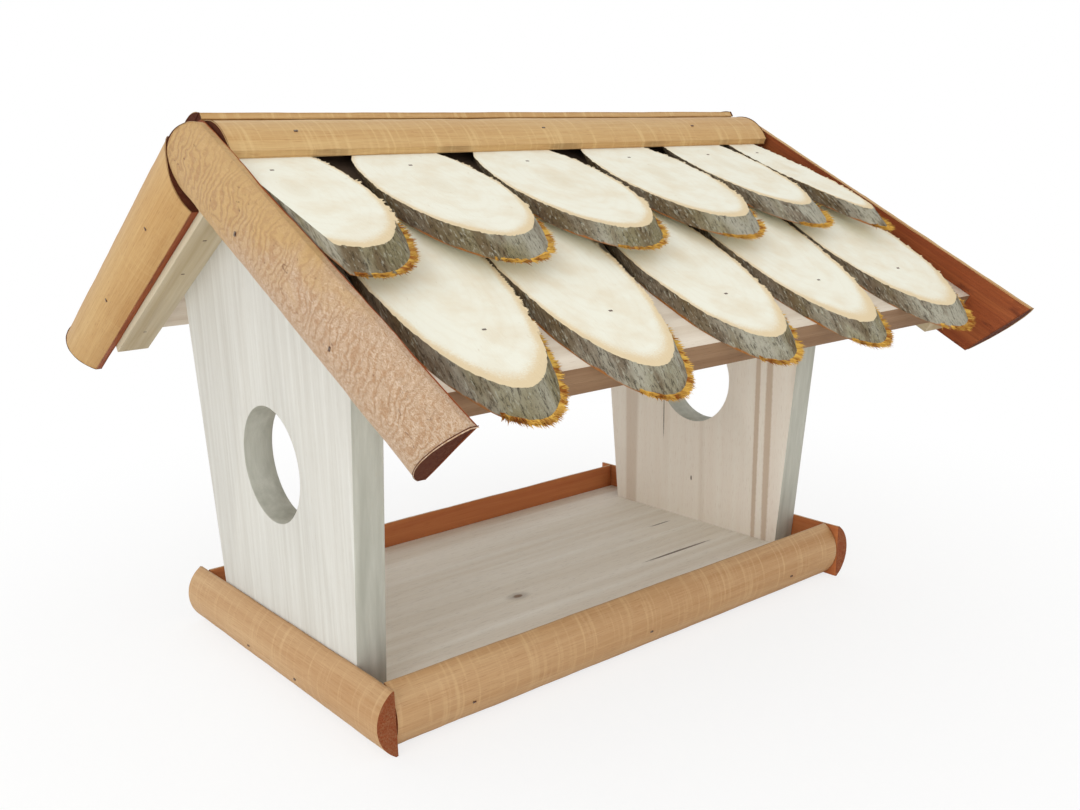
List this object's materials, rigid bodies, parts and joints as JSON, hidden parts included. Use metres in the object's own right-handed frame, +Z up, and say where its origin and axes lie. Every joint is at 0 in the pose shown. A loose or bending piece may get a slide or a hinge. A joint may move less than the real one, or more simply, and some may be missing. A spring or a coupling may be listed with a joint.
{
  "type": "bird feeder",
  "caption": "Wooden bird feeder house: railed seed tray between two gable walls with round view holes, pitched roof shingled with bark-edged log slices and half-round trim",
  "frame": {"origin": "middle of the floor board's underside, on the surface that the tray rests on", "axes": "+X along the ridge, towards the right gable; +Y from the front to the rear; +Z up"},
  "size_m": [0.423, 0.4574, 0.308],
  "materials": {
    "barge_wood": "round face stained and oiled, dark sawn ends",
    "batten_wood": "bare planed wood",
    "deck_wood": "bare planed boards",
    "floor_wood": "bare planed board",
    "rail_wood": "round face stained and oiled",
    "ridge_wood": "round face stained and oiled",
    "slice_wood": "bare sawn log slices with bark on the edge",
    "steel": "plain wire nails and screws",
    "wall_wood": "bare planed boards with vertical grain"
  },
  "bodies": {
    "root": {"barge_brads": "barge_wood", "batten_brads": "batten_wood", "floor_board": "floor_wood", "front_left_barge": "barge_wood", "front_left_batten": "batten_wood", "front_lower_slice_1": "slice_wood", "front_lower_slice_2": "slice_wood", "front_lower_slice_3": "slice_wood", "front_lower_slice_4": "slice_wood", "front_lower_slice_5": "slice_wood", "front_ridge_rail": "ridge_wood", "front_right_barge": "barge_wood", "front_right_batten": "batten_wood", "front_roof_board": "deck_wood", "front_tray_rail": "rail_wood", "front_upper_slice_1": "slice_wood", "front_upper_slice_2": "slice_wood", "front_upper_slice_3": "slice_wood", "front_upper_slice_4": "slice_wood", "front_upper_slice_5": "slice_wood", "front_upper_slice_6": "slice_wood", "left_gable_wall": "wall_wood", "left_tray_rail": "rail_wood", "rear_left_barge": "barge_wood", "rear_left_batten": "batten_wood", "rear_lower_slice_1": "slice_wood", "rear_lower_slice_2": "slice_wood", "rear_lower_slice_3": "slice_wood", "rear_lower_slice_4": "slice_wood", "rear_lower_slice_5": "slice_wood", "rear_ridge_rail": "ridge_wood", "rear_right_barge": "barge_wood", "rear_right_batten": "batten_wood", "rear_roof_board": "deck_wood", "rear_tray_rail": "rail_wood", "rear_upper_slice_1": "slice_wood", "rear_upper_slice_2": "slice_wood", "rear_upper_slice_3": "slice_wood", "rear_upper_slice_4": "slice_wood", "rear_upper_slice_5": "slice_wood", "rear_upper_slice_6": "slice_wood", "ridge_rail_brads": "ridge_wood", "right_gable_wall": "wall_wood", "right_tray_rail": "rail_wood", "roof_board_brads": "deck_wood", "slice_brads": "slice_wood", "tray_rail_brads": "rail_wood", "wall_brads": "steel"}
  },
  "joints": []
}
